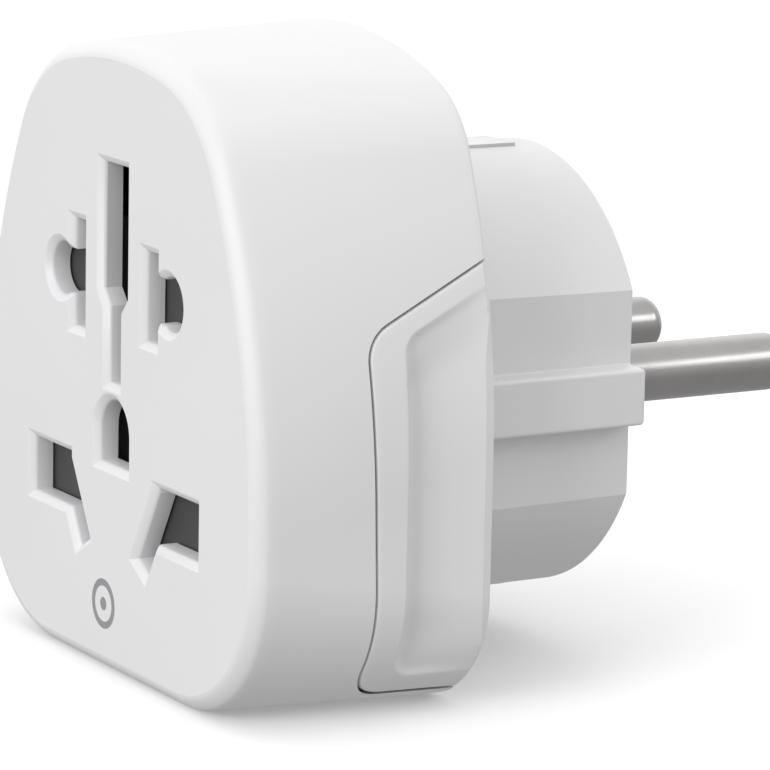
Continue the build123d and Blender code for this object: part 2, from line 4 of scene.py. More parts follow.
import bmesh
import bpy
import numpy as np
from bpy.props import FloatProperty, FloatVectorProperty, IntProperty, PointerProperty
from bpy.types import Operator, Panel, PropertyGroup
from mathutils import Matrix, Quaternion, Vector


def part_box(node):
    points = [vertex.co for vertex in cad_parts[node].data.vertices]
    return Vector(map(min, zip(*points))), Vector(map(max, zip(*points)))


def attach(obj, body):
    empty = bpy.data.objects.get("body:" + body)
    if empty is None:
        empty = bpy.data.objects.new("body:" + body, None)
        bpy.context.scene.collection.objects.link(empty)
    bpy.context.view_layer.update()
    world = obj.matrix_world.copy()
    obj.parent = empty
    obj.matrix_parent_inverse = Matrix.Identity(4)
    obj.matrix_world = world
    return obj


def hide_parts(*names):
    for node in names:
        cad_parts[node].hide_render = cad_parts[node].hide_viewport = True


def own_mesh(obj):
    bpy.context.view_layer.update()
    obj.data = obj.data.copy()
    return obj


bl_info = {
    "name": "Universal Travel Adapter",
    "version": (1, 0, 0),
    "blender": (4, 5, 0),
    "location": "View3D > Sidebar > Adapter",
    "description": "Builds a universal travel adapter round its packed frame",
    "category": "Object",
}

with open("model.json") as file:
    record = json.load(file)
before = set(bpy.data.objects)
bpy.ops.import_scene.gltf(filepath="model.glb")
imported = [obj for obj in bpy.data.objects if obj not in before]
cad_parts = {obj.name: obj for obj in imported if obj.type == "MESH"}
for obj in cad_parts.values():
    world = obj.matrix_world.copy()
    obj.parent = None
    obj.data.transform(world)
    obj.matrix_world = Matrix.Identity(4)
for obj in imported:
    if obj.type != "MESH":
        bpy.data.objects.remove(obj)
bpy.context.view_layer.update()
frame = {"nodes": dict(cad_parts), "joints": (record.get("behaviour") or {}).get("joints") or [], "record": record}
MM = 0.001


def box_mm(node):
    """Corners of a CAD node in millimetres, as two arrays."""
    low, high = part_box(node)
    return np.array(low) / MM, np.array(high) / MM


FRONT_LOW, FRONT_HIGH = box_mm("front_shell")
FACE_Y = float(FRONT_LOW[1])
REAR_Y = float(FRONT_HIGH[1])


# ------------------------------------------------------------------ settings
class AdapterSizes(PropertyGroup):
    """Sizes of the moulded pieces, in millimetres."""

    wall: FloatProperty(
        name="Wall", description="Wall thickness of the shells",
        default=2.0, min=1.0, max=3.0)
    face_bevel: FloatProperty(
        name="Face bevel", description="Bevel round the socket face",
        default=0.9, min=0.3, max=2.5)
    edge_soft: FloatProperty(
        name="Edge softness", description="Rounding of the bevel's two edges",
        default=0.3, min=0.02, max=0.6)
    aperture_bevel: FloatProperty(
        name="Aperture bevel", description="Bevel round each opening of the face",
        default=0.5, min=0.1, max=1.0)
    seam_gap: FloatProperty(
        name="Seam gap", description="Width of the groove between the shells",
        default=0.25, min=0.1, max=0.5)
    grip_depth: FloatProperty(
        name="Grip depth", description="Depth of the finger hollow at its front",
        default=1.3, min=0.2, max=1.7)
    plug_radius: FloatProperty(
        name="Plug radius", description="Radius of the round plug body where it leaves the plate",
        default=18.5, min=17.0, max=18.6)
    rib_width: FloatProperty(
        name="Rib width", description="Height of the guide rib on each side of the plug",
        default=4.6, min=3.0, max=6.0)
    pin_radius: FloatProperty(
        name="Pin radius", description="Radius of the round pins",
        default=2.4, min=2.0, max=2.4)
    ring_steps: IntProperty(
        name="Outline steps", description="Points on each long arc of the housing's outline",
        default=40, min=8, max=96)


class AdapterFinish(PropertyGroup):
    """Colours and finishes."""

    shell_color: FloatVectorProperty(
        name="Shell", description="Colour of the white mouldings",
        subtype="COLOR", default=(0.72, 0.72, 0.73), min=0, max=1)
    print_color: FloatVectorProperty(
        name="Print", description="Colour of the printed ring on the face",
        subtype="COLOR", default=(0.27, 0.27, 0.28), min=0, max=1)
    dark_color: FloatVectorProperty(
        name="Dark plastic", description="Colour of the shutter and the carrier",
        subtype="COLOR", default=(0.036, 0.036, 0.038), min=0, max=1)
    nickel_color: FloatVectorProperty(
        name="Nickel", description="Colour of the plated pins and clips",
        subtype="COLOR", default=(0.42, 0.41, 0.405), min=0, max=1)
    brass_color: FloatVectorProperty(
        name="Brass", description="Colour of the contact strips",
        subtype="COLOR", default=(0.72, 0.52, 0.25), min=0, max=1)
    grain: FloatProperty(
        name="Grain", description="Strength of the fine moulded grain",
        subtype="FACTOR", default=0.25, min=0, max=1)


class AdapterStage(PropertyGroup):
    """Camera and light."""

    camera_place: FloatVectorProperty(
        name="Camera", description="Where the camera stands",
        subtype="TRANSLATION", unit="LENGTH", default=(0.31138, -0.19396, 0.06881))
    camera_aim: FloatVectorProperty(
        name="Aim", description="Direction the camera looks in",
        subtype="DIRECTION", default=(-0.84919, 0.49230, -0.19108))
    camera_roll: FloatProperty(
        name="Roll", description="Lean of the camera to one side",
        subtype="ANGLE", default=math.radians(1.15))
    lens: FloatProperty(
        name="Lens", description="Focal length in millimetres",
        default=209.0, min=35, max=400)
    top_power: FloatProperty(
        name="Top light", description="Power of the soft light overhead",
        unit="POWER", default=0.45, min=0)
    key_power: FloatProperty(
        name="Key light", description="Power of the soft light from the front and the side",
        unit="POWER", default=3.4, min=0)
    back_power: FloatProperty(
        name="Back light", description="Power of the light that runs a streak along the pins",
        unit="POWER", default=0.5, min=0)
    sky_high: FloatProperty(
        name="Light from above", description="Strength of the surrounding light from above",
        default=1.0, min=0, max=3)
    sky_low: FloatProperty(
        name="Light from below", description="Strength of the surrounding light from below",
        default=0.45, min=0, max=3)
    backdrop: FloatProperty(
        name="Backdrop", description="Extra strength of the pale backdrop behind the adapter",
        default=0.5, min=0, max=3)
    sky_high_end: FloatProperty(
        name="Upper end", description="Sine of the height where the light from above is full",
        subtype="FACTOR", default=0.8, min=-1, max=1)
    sky_low_end: FloatProperty(
        name="Lower end", description="Sine of the height where the light from below is full",
        subtype="FACTOR", default=-0.4, min=-1, max=1)


# ------------------------------------------------------------------ places, in millimetres
BLADE_Z = 8.7                           # row of the flat and round openings
UK_ROW_Z = BLADE_Z - 17.1               # row of the rectangular openings
PIN_X = 9.5                             # the plug's pins stand this far from the middle
EARTH_Z = 10.0                          # the earth hole in the plug's end is this high
SCREWS = ((0.0, 23.3), (16.6, -16.7), (-16.6, -16.7))
POST_Y = FACE_Y + 17.0                  # the front shell's screw posts end here
SCREW_SEAT = REAR_Y - 2.2
PLATE_LOW, PLATE_HIGH = REAR_Y - 1.8, REAR_Y - 0.2
END_WALL_Y = -2.2                       # inner face of the plug's end wall
BOSS_Y = -6.2                           # the bosses inside the plug start here


# ------------------------------------------------------------------ outlines
def lerp(a, b, t):
    """The value a share t of the way from a to b."""
    return a + (b - a) * t


def arc(cx, cz, radius, start, end, steps):
    """Points along an arc from start to end, in degrees, without its last point."""
    angles = np.radians(np.linspace(start, end, steps + 1)[:-1])
    return [(cx + radius * math.cos(a), cz + radius * math.sin(a)) for a in angles]


class Housing:
    """Outline of the housing: a shallow crown, long side arcs and round bottom corners."""

    crown_r, side_r, bottom = 42.0, 60.0, -22.8
    # half width, top, height where the sides are upright, corner radius and shoulder radius
    at_face = (24.4, 27.8, -7.7, 13.0, 13.0)
    at_rear = (24.7, 28.9, -1.8, 9.5, 9.4)

    def at(self, y):
        """The five sizes of the cross-section at y."""
        t = (y - FACE_Y) / (REAR_Y - FACE_Y)
        return [lerp(a, b, t) for a, b in zip(self.at_face, self.at_rear)]

    def ring(self, y, inset, steps):
        """Closed outline at y, drawn in by inset, anticlockwise as seen from the front."""
        half, top, side_z, corner, shoulder = self.at(y)
        # the shoulder touches the side's arc and the crown's arc from within
        side_c = np.array((half - self.side_r, side_z))
        crown_c = np.array((0.0, top - self.crown_r))
        side_reach, crown_reach = self.side_r - shoulder, self.crown_r - shoulder
        gap = crown_c - side_c
        apart = np.linalg.norm(gap)
        along = (side_reach**2 - crown_reach**2 + apart**2) / (2 * apart)
        off = math.sqrt(side_reach**2 - along**2)
        unit = gap / apart
        shoulder_c = side_c + unit * along + np.array((-unit[1], unit[0])) * off
        to_side, to_crown = shoulder_c - side_c, shoulder_c - crown_c
        side_end = math.degrees(math.atan2(to_side[1], to_side[0]))
        crown_start = math.degrees(math.atan2(to_crown[1], to_crown[0]))
        low = self.bottom + corner
        floor = np.linspace(0, half - corner, steps // 3 + 1)[:-1]
        right = [(x, self.bottom + inset) for x in floor]
        right += arc(half - corner, low, corner - inset, -90, 0, steps)
        right += [(half - inset, z) for z in np.linspace(low, side_z, 8)[:-1]]
        right += arc(*side_c, self.side_r - inset, 0, side_end, steps)
        right += arc(*shoulder_c, shoulder - inset, side_end, crown_start, steps // 2)
        right += arc(*crown_c, self.crown_r - inset, crown_start, 90, steps // 2)
        right += [(0.0, top - inset)]
        left = [(-x, z) for x, z in right[-2:0:-1]]
        return np.array(right + left)

    def side_x(self, y, z, inset):
        """Distance from the middle to the side wall at y and z, drawn in by inset."""
        half, _, side_z, corner, _ = self.at(y)
        low = self.bottom + corner
        if z > side_z:
            return half - self.side_r + math.sqrt((self.side_r - inset) ** 2 - (z - side_z) ** 2)
        if z < low:
            reach = max((corner - inset) ** 2 - (z - low) ** 2, 0.0)
            return half - corner + math.sqrt(reach)
        return half - inset


HOUSING = Housing()


def grown(points, amount):
    """Closed outline moved outwards by amount, with mitred corners; points run anticlockwise."""
    p = np.array(points, float)
    ahead = np.roll(p, -1, 0) - p
    ahead /= np.linalg.norm(ahead, axis=1)[:, None]
    behind = np.roll(ahead, 1, 0)
    out_behind = np.stack([behind[:, 1], -behind[:, 0]], 1)
    out_ahead = np.stack([ahead[:, 1], -ahead[:, 0]], 1)
    mitre = 1 + (out_behind * out_ahead).sum(1)
    return p + amount * (out_behind + out_ahead) / mitre[:, None]


def rounded(points, radii, steps):
    """Open polyline whose corners are rounded, each to its own radius; its ends stay."""
    p = [np.array(q, float) for q in points]
    out = [p[0]]
    for before, corner, after, radius in zip(p, p[1:], p[2:], radii):
        a, b = before - corner, after - corner
        la, lb = np.linalg.norm(a), np.linalg.norm(b)
        a, b = a / la, b / lb
        turn = math.acos(a @ b)
        reach = min(radius / math.tan(turn / 2), 0.48 * la, 0.48 * lb)
        r = reach * math.tan(turn / 2)
        mid = (a + b) / np.linalg.norm(a + b)
        centre = corner + mid * (r / math.sin(turn / 2))
        start, end = corner + a * reach - centre, corner + b * reach - centre
        sweep = math.pi - turn
        for k in range(steps + 1):
            to_start, to_end = sweep * (1 - k / steps), sweep * k / steps
            swung = math.sin(to_start) * start + math.sin(to_end) * end
            out.append(centre + swung / math.sin(sweep))
    return np.array(out + [p[-1]])


def circle(cx, cz, radius, steps=48):
    """Closed outline of a circle."""
    return np.array(arc(cx, cz, radius, 0, 360, steps))


# ------------------------------------------------------------------ meshes
def new_object(name, bm):
    """Object from a bmesh in millimetres, at the origin, with its faces pointing out."""
    bmesh.ops.remove_doubles(bm, verts=bm.verts, dist=1e-5)
    bmesh.ops.recalc_face_normals(bm, faces=bm.faces)
    bmesh.ops.scale(bm, vec=(MM, MM, MM), verts=bm.verts)
    mesh = bpy.data.meshes.new(name)
    bm.to_mesh(mesh)
    bm.free()
    obj = bpy.data.objects.new(name, mesh)
    bpy.context.scene.collection.objects.link(obj)
    return obj


def add_rings(bm, rings, caps=True):
    """Skins rings of equal point count, each given as (y, outline in x and z)."""
    rows = [[bm.verts.new((x, y, z)) for x, z in ring] for y, ring in rings]
    for a, b in zip(rows, rows[1:]):
        for i in range(len(a)):
            j = (i + 1) % len(a)
            bm.faces.new((a[i], a[j], b[j], b[i]))
    if caps:
        bm.faces.new(rows[0])
        bm.faces.new(rows[-1][::-1])


def add_bridge(bm, a, b):
    """Quads between two open rows of vertices of the same length."""
    for i in range(len(a) - 1):
        bm.faces.new((a[i], a[i + 1], b[i + 1], b[i]))


def add_grid(bm, points):
    """Quads over a grid of 3D points; returns its vertices."""
    rows = [[bm.verts.new(p) for p in row] for row in points]
    for a, b in zip(rows, rows[1:]):
        add_bridge(bm, a, b)
    return rows


def add_tube(bm, x, z, radius, bore, y0, y1, steps=40):
    """Round post along y with a bore right through it; a bore of 0 leaves it solid."""
    soft = 0.12
    outer = [(y0, radius - soft), (y0 + soft, radius), (y1 - soft, radius), (y1, radius - soft)]
    if not bore:
        add_rings(bm, [(y, circle(x, z, r, steps)) for y, r in outer])
        return
    loop = outer + [(y1, bore), (y0, bore), outer[0]]
    add_rings(bm, [(y, circle(x, z, r, steps)) for y, r in loop], caps=False)


def prism(name, outline, y0, y1):
    """Straight prism along y from an outline in x and z."""
    bm = bmesh.new()
    add_rings(bm, [(y0, outline), (y1, outline)])
    return new_object(name, bm)


def side_prism(name, outline, x0, x1):
    """Straight prism along x from an outline in y and z."""
    bm = bmesh.new()
    rows = [[bm.verts.new((x, y, z)) for y, z in outline] for x in (x0, x1)]
    for i in range(len(outline)):
        j = (i + 1) % len(outline)
        bm.faces.new((rows[0][i], rows[0][j], rows[1][j], rows[1][i]))
    bm.faces.new(rows[0])
    bm.faces.new(rows[1][::-1])
    return new_object(name, bm)


def bake(obj):
    """Applies the object's modifiers by taking its evaluated mesh."""
    graph = bpy.context.evaluated_depsgraph_get()
    mesh = bpy.data.meshes.new_from_object(obj.evaluated_get(graph))
    obj.modifiers.clear()
    old = obj.data
    obj.data = mesh
    bpy.data.meshes.remove(old)
    mesh.name = obj.name
    return obj


def cut(obj, cutters, operation="DIFFERENCE"):
    """Cuts the cutters out of the object, or joins them to it, and removes them."""
    for cutter in cutters:
        step = obj.modifiers.new("cut", "BOOLEAN")
        step.operation = operation
        step.solver = "EXACT"
        step.object = cutter
    bake(obj)
    for cutter in cutters:
        bpy.data.objects.remove(cutter)


def smooth(obj, degrees=28, flat_area=1e-5):
    """Smooth shading; sharp edges, and edges of faces over flat_area square metres, stay crisp."""
    bm = bmesh.new()
    bm.from_mesh(obj.data)
    limit = math.radians(degrees)
    for face in bm.faces:
        face.smooth = True
    for edge in bm.edges:
        flat = max((face.calc_area() for face in edge.link_faces), default=0) > flat_area
        edge.smooth = edge.is_manifold and edge.calc_face_angle(0) < limit and not flat
    bm.to_mesh(obj.data)
    bm.free()


def dress(obj, material):
    """Gives the object one material."""
    obj.data.materials.clear()
    obj.data.materials.append(material)


# ------------------------------------------------------------------ nodes
class Sock:
    """A node socket that adds Math nodes when it is used in an expression."""

    def __init__(self, board, socket):
        self.board, self.socket = board, socket

    def _math(self, operation, *values):
        """Adds one Math node on the values, which are sockets or numbers."""
        return self.board.node("ShaderNodeMath", {"operation": operation}, dict(enumerate(values)))

    def __add__(self, other):
        return self._math("ADD", self, other)

    __radd__ = __add__

    def __sub__(self, other):
        return self._math("SUBTRACT", self, other)

    def __rsub__(self, other):
        return self._math("SUBTRACT", other, self)

    def __mul__(self, other):
        return self._math("MULTIPLY", self, other)

    __rmul__ = __mul__

    def __truediv__(self, other):
        return self._math("DIVIDE", self, other)

    def __pow__(self, other):
        return self._math("POWER", self, other)

    def __abs__(self):
        return self._math("ABSOLUTE", self)

    def most(self, other):
        """The larger of the two values."""
        return self._math("MAXIMUM", self, other)

    def root(self):
        """The square root."""
        return self._math("SQRT", self)

    def step(self, low, high):
        """0 below low, 1 above high, and smooth between."""
        return self.board.node(
            "ShaderNodeMapRange", {"interpolation_type": "SMOOTHSTEP", "clamp": True},
            {"Value": self, "From Min": low, "From Max": high}, "Result")


class Board:
    """A node tree whose nodes all come from one method."""

    def __init__(self, tree):
        self.tree = tree
        tree.nodes.clear()

    def node(self, kind, settings=None, inputs=None, output=0):
        """Adds a node and returns one of its outputs; a list links several sockets to one input."""
        made = self.tree.nodes.new(kind)
        for key, value in (settings or {}).items():
            setattr(made, key, value)
        for key, value in (inputs or {}).items():
            socket = made.inputs[key]
            for item in value if isinstance(value, list) else [value]:
                if isinstance(item, Sock):
                    self.tree.links.new(item.socket, socket)
                elif socket.type == "RGBA" and len(item) == 3:
                    socket.default_value = (*item, 1)
                else:
                    socket.default_value = item
        return Sock(self, made.outputs[output]) if made.outputs else None


class ShaderBoard(Board):
    """The node tree of one material, or of the world."""

    def __init__(self, owner):
        owner.use_nodes = True
        super().__init__(owner.node_tree)
        self.owner = owner

    def place(self):
        """Object coordinates in metres."""
        return self.node("ShaderNodeTexCoord", output="Object")

    def parts(self):
        """X, Y and Z of the object coordinates, in millimetres."""
        scaled = {0: self.place(), "Scale": 1 / MM}
        where = self.node("ShaderNodeVectorMath", {"operation": "SCALE"}, scaled)
        return [self.node("ShaderNodeSeparateXYZ", None, {0: where}, axis) for axis in range(3)]

    def stretched(self, x, y, z):
        """Object coordinates scaled on each axis."""
        return self.node("ShaderNodeMapping", None, {"Vector": self.place(), "Scale": (x, y, z)})

    def noise(self, scale, detail=2.0, rough=0.5, where=None):
        """Noise from 0 to 1, on object coordinates unless others are given."""
        return self.node(
            "ShaderNodeTexNoise", None,
            {"Vector": where or self.place(), "Scale": scale, "Detail": detail, "Roughness": rough})

    def mix(self, mask, a, b):
        """Colour a where the mask is 0, and b where it is 1."""
        return self.node("ShaderNodeMix", {"data_type": "RGBA"}, {0: mask, 6: a, 7: b}, 2)

    def bump(self, height, strength, distance):
        """Normal that follows a height; the distance is in metres."""
        return self.node(
            "ShaderNodeBump", None, {"Height": height, "Strength": strength, "Distance": distance})

    def finish(self, **inputs):
        """Principled shader from keyword inputs, whose underscores stand for spaces."""
        values = {key.replace("_", " "): value for key, value in inputs.items()}
        shader = self.node("ShaderNodeBsdfPrincipled", None, values)
        self.node("ShaderNodeOutputMaterial", None, {"Surface": shader})
        return self.owner


class Tree(Board):
    """A geometry node tree with its sizes and its material as named inputs."""

    def __init__(self, name, sizes):
        super().__init__(bpy.data.node_groups.new(name, "GeometryNodeTree"))
        self.declare("Geometry", "INPUT", "NodeSocketGeometry")
        for label, size in sizes.items():
            self.declare(label, "INPUT", "NodeSocketFloat").default_value = size
        self.declare("Material", "INPUT", "NodeSocketMaterial")
        self.declare("Geometry", "OUTPUT", "NodeSocketGeometry")

    def declare(self, label, way, kind):
        """Adds a socket to the tree's own inputs or outputs."""
        return self.tree.interface.new_socket(label, in_out=way, socket_type=kind)

    def __getitem__(self, label):
        return self.node("NodeGroupInput", output=label)

    def vector(self, **parts):
        """Vector from its X, Y and Z; one that isn't given is 0."""
        return self.node("ShaderNodeCombineXYZ", None, parts)

    def moved(self, geometry, offset):
        """The geometry, moved by a vector."""
        return self.node("GeometryNodeTransform", None, {"Geometry": geometry, "Translation": offset})

    def close(self, geometry):
        """Ends the tree in real geometry with its material."""
        real = self.node("GeometryNodeRealizeInstances", None, {"Geometry": geometry})
        made = self.node("GeometryNodeSetMaterial", None, {"Geometry": real, "Material": self["Material"]})
        self.node("NodeGroupOutput", None, {"Geometry": made})

    def grow(self, name, points, values):
        """Runs the tree on loose points in millimetres and returns the result as a plain mesh."""
        mesh = bpy.data.meshes.new(name)
        mesh.from_pydata([tuple(c * MM for c in p) for p in points], [], [])
        obj = bpy.data.objects.new(name, mesh)
        bpy.context.scene.collection.objects.link(obj)
        step = obj.modifiers.new("grow", "NODES")
        step.node_group = self.tree
        for item in self.tree.interface.items_tree:
            if item.in_out == "INPUT" and item.name in values:
                step[item.identifier] = values[item.name]
        return bake(obj)


# ------------------------------------------------------------------ materials
MARK_X, MARK_Z = -1.1, -17.3


def white_plastic(finish, printed=False):
    """Satin white moulding with a fine grain; the face carries a small printed ring and dot."""
    name = "white_moulding_printed" if printed else "white_moulding"
    b = ShaderBoard(bpy.data.materials.new(name))
    cloud = b.noise(45.0, 3.0, 0.55)
    grain = b.noise(5200.0, 2.0, 0.6)
    waves = b.noise(320.0, 2.0, 0.5)
    base = tuple(finish.shell_color)
    warm = (base[0] * 0.985, base[1] * 0.983, base[2] * 0.975)
    colour = b.mix(cloud.step(0.35, 0.65), base, warm)
    rough = 0.34 + cloud * 0.06 + grain * 0.05
    if printed:
        ring_radius, half_line, dot_radius, blur = 1.75, 0.29, 0.55, 0.03
        x, y, z = b.parts()
        dx, dz = x - MARK_X, z - MARK_Z
        away = (dx * dx + dz * dz).root()
        ring = 1 - abs(away - ring_radius).step(half_line - blur, half_line + blur)
        dot = 1 - away.step(dot_radius - blur, dot_radius + blur)
        mark = ring.most(dot) * (1 - y.step(FACE_Y + 0.01, FACE_Y + 0.03))
        colour = b.mix(mark, colour, tuple(finish.print_color))
        rough = rough + mark * 0.12
    normal = b.bump(grain * 0.5 + waves * 0.5, finish.grain, 0.00001)
    return b.finish(Base_Color=colour, Roughness=rough, Normal=normal, IOR=1.49)


def dark_plastic(finish, name, shade, rough_low):
    """Dark engineering plastic, duller where the tool was blasted."""
    b = ShaderBoard(bpy.data.materials.new(name))
    cloud = b.noise(70.0, 3.0, 0.6)
    grain = b.noise(3800.0, 2.0, 0.6)
    base = tuple(c * shade for c in finish.dark_color)
    pale = tuple(min(c * 1.25, 1) for c in base)
    colour = b.mix(cloud.step(0.3, 0.7), base, pale)
    normal = b.bump(grain, 0.3, 0.00002)
    return b.finish(Base_Color=colour, Roughness=rough_low + cloud * 0.12, Normal=normal)


def plated(finish, name, axis_scale, tint, rough_low):
    """Nickel plate over turned or rolled metal, with fine marks across or along it."""
    b = ShaderBoard(bpy.data.materials.new(name))
    marks = b.noise(1.0, 3.0, 0.6, b.stretched(*axis_scale))
    cloud = b.noise(120.0, 3.0, 0.55)
    base = tuple(c * tint for c in finish.nickel_color)
    dull = tuple(c * 0.86 for c in base)
    colour = b.mix(cloud.step(0.35, 0.7), base, dull)
    rough = rough_low + marks * 0.12 + cloud * 0.06
    normal = b.bump(marks, 0.18, 0.00002)
    return b.finish(Base_Color=colour, Metallic=1.0, Roughness=rough, Normal=normal)


def rolled_brass(finish):
    """Rolled brass strip with a grain along its length and a little tarnish."""
    b = ShaderBoard(bpy.data.materials.new("rolled_brass"))
    marks = b.noise(1.0, 3.0, 0.6, b.stretched(300, 9000, 300))
    tarnish = b.noise(160.0, 4.0, 0.6)
    base = tuple(finish.brass_color)
    brown = (base[0] * 0.62, base[1] * 0.55, base[2] * 0.5)
    colour = b.mix(tarnish.step(0.5, 0.85), base, brown)
    normal = b.bump(marks, 0.2, 0.00002)
    return b.finish(Base_Color=colour, Metallic=1.0, Roughness=0.24 + tarnish * 0.25, Normal=normal)


# ------------------------------------------------------------------ openings of the face
def earth_slot():
    """The tall earth slot: a wide upper part that narrows to a lower one."""
    wide, narrow = 2.2, 1.05
    top, shelf, neck, low = (BLADE_Z + rise for rise in (9.6, -0.5, -1.8, -7.9))
    right = [(narrow, low), (narrow, neck), (wide, shelf), (wide, top)]
    return right + [(-x, z) for x, z in right[::-1]]


def earth_hole():
    """The round-topped earth hole below the slots."""
    centre, radius = BLADE_Z - 11.9, 2.65
    floor = centre - radius
    top = arc(0, centre, radius, 0, 180, 28)
    return [(-radius, floor), (radius, floor)] + top + [(-radius, centre)]


def rectangular_opening():
    """The right rectangular opening, with the slanted slot that runs down from it."""
    lean_x, lean_z = math.sin(math.radians(30)), math.cos(math.radians(30))
    mid_x, mid_z, half_l, half_t = 6.8, UK_ROW_Z - 1.66, 3.4, 1.05
    foot = (mid_x - half_l * lean_x, mid_z - half_l * lean_z)
    foot_left = (foot[0] - half_t * lean_z, foot[1] + half_t * lean_x)
    foot_right = (foot[0] + half_t * lean_z, foot[1] - half_t * lean_x)
    left, right, low, top = 7.6, 14.6, UK_ROW_Z - 2.25, UK_ROW_Z + 2.25
    meet_left = foot_left[1] + (left - foot_left[0]) * lean_z / lean_x
    meet_right = foot_right[0] + (low - foot_right[1]) * lean_x / lean_z
    blade = [(left, meet_left), foot_left, foot_right, (meet_right, low)]
    return blade + [(right, low), (right, top), (left, top)]


def slot_with_hole(half_slot):
    """The right flat slot, joined to the round hole beside it by a bridge."""
    slot_left, slot_right, bridge, radius = 5.3, 7.4, 1.8, 2.15
    spread = math.degrees(math.asin(bridge / radius))
    hole_left = PIN_X - radius * math.cos(math.radians(spread))
    shape = [(slot_left, -half_slot), (slot_right, -half_slot), (slot_right, -bridge)]
    shape += arc(PIN_X, 0, radius, spread - 180, 180 - spread, 36)
    shape += [(hole_left, bridge), (slot_right, bridge), (slot_right, half_slot), (slot_left, half_slot)]
    return [(x, z + BLADE_Z) for x, z in shape]


def opening_outlines():
    """Each opening of the socket face, anticlockwise as seen from the front."""
    out = [earth_slot(), earth_hole()]
    for side, half_slot in ((1, 3.55), (-1, 4.35)):
        for shape in (rectangular_opening(), slot_with_hole(half_slot)):
            points = [(side * x, z) for x, z in shape]
            out.append(points if side > 0 else points[::-1])
    return out


def opening_cutter(name, outline, bevel, depth):
    """Cutter for one opening: its mouth flares out to the face with soft edges."""
    # depth behind the face and spread beyond the outline, as shares of the bevel
    flare = ((0.0, 1.24), (0.12, 1.0), (0.80, 0.26), (1.0, 0.09), (1.28, 0.0))
    mouth = [(deep * bevel, out * bevel) for deep, out in flare]
    profile = [(-1.0, mouth[0][1])] + mouth + [(depth, 0.0)]
    bm = bmesh.new()
    add_rings(bm, [(FACE_Y + deep, grown(outline, out)) for deep, out in profile])
    return new_object(name, bm)


# ------------------------------------------------------------------ seam and grip outlines
SLANT = 27.0
SEAM_FRONT, SEAM_TOP, SEAM_LOW = 10.1, BLADE_Z - 1.15, HOUSING.bottom + 1.5
GRIP_FRONT, GRIP_TOP, GRIP_LOW = 13.3, BLADE_Z - 1.4, HOUSING.bottom + 3.5
LOW_SET_BACK = 0.8                      # the seam's lower corner stands this far behind its upper one


def side_path(front, low_front, top, low, radius, steps):
    """Line seen from the side, as (y, z) from its rear top end, past the rear edge, to its low end."""
    past_edge = 6.0
    end = REAR_Y + past_edge
    rise = math.tan(math.radians(SLANT)) * (end - front)
    corners = [(end, top + rise), (front, top), (low_front, low), (end, low)]
    return rounded(corners, (radius, radius), steps)


def seam_path():
    """The seam between the shells."""
    front = FACE_Y + SEAM_FRONT
    return side_path(front, front + LOW_SET_BACK, SEAM_TOP, SEAM_LOW, 3.0, 14)


def grip_path():
    """The rim of the finger hollow."""
    front = FACE_Y + GRIP_FRONT
    return side_path(front, front, GRIP_TOP, GRIP_LOW, 1.9, 12)


def clipped(path, y_end, count):
    """The part of an open path in front of y_end, resampled to count points."""
    shares = np.linspace(0, 1, 60)[:-1]
    fine = [lerp(a, b, share) for a, b in zip(path, path[1:]) for share in shares] + [path[-1]]
    fine = np.array([p for p in fine if p[0] <= y_end])
    fine[0][0] = fine[-1][0] = y_end
    length = np.concatenate([[0], np.cumsum(np.linalg.norm(np.diff(fine, axis=0), axis=1))])
    stops = np.linspace(0, length[-1], count)
    return np.stack([np.interp(stops, length, fine[:, i]) for i in range(2)], 1)


def distance_to(points, path):
    """Distance from each point to a polyline, for points and path in two dimensions."""
    start, span = path[:-1], np.diff(path, axis=0)
    share = ((points[:, None] - start) * span).sum(2) / np.maximum((span * span).sum(1), 1e-12)
    near = start + np.clip(share, 0, 1)[..., None] * span
    return np.linalg.norm(points[:, None] - near, axis=2).min(1)


def hollow_depth(points, inside, depth):
    """Depth of the finger hollow at each (y, z) point, from 0 outside its rim to its soft floor."""
    lip, wall_width, wall_power = 0.28, 0.55, 1.7
    gap = distance_to(points, grip_path()) * (1 if inside else -1)
    wall = 1 - np.exp(-((np.maximum(gap + lip, 0) / wall_width) ** wall_power))
    # the floor rises towards the top, the bottom and the rear
    end_reach, end_share = 4.5, 0.38
    back = points[:, 0] - FACE_Y - GRIP_FRONT
    slope_top = GRIP_TOP + math.tan(math.radians(SLANT)) * back
    from_end = np.minimum(slope_top - points[:, 1], points[:, 1] - GRIP_LOW)
    middle = np.clip(from_end / end_reach, 0, 1)
    middle = end_share + (1 - end_share) * middle * middle * (3 - 2 * middle)
    rear_reach, rear_loss, rear_power = 7.5, 0.85, 1.3
    rear = 1 - rear_loss * np.clip(back / rear_reach, 0, 1) ** rear_power
    return depth * rear * middle * wall


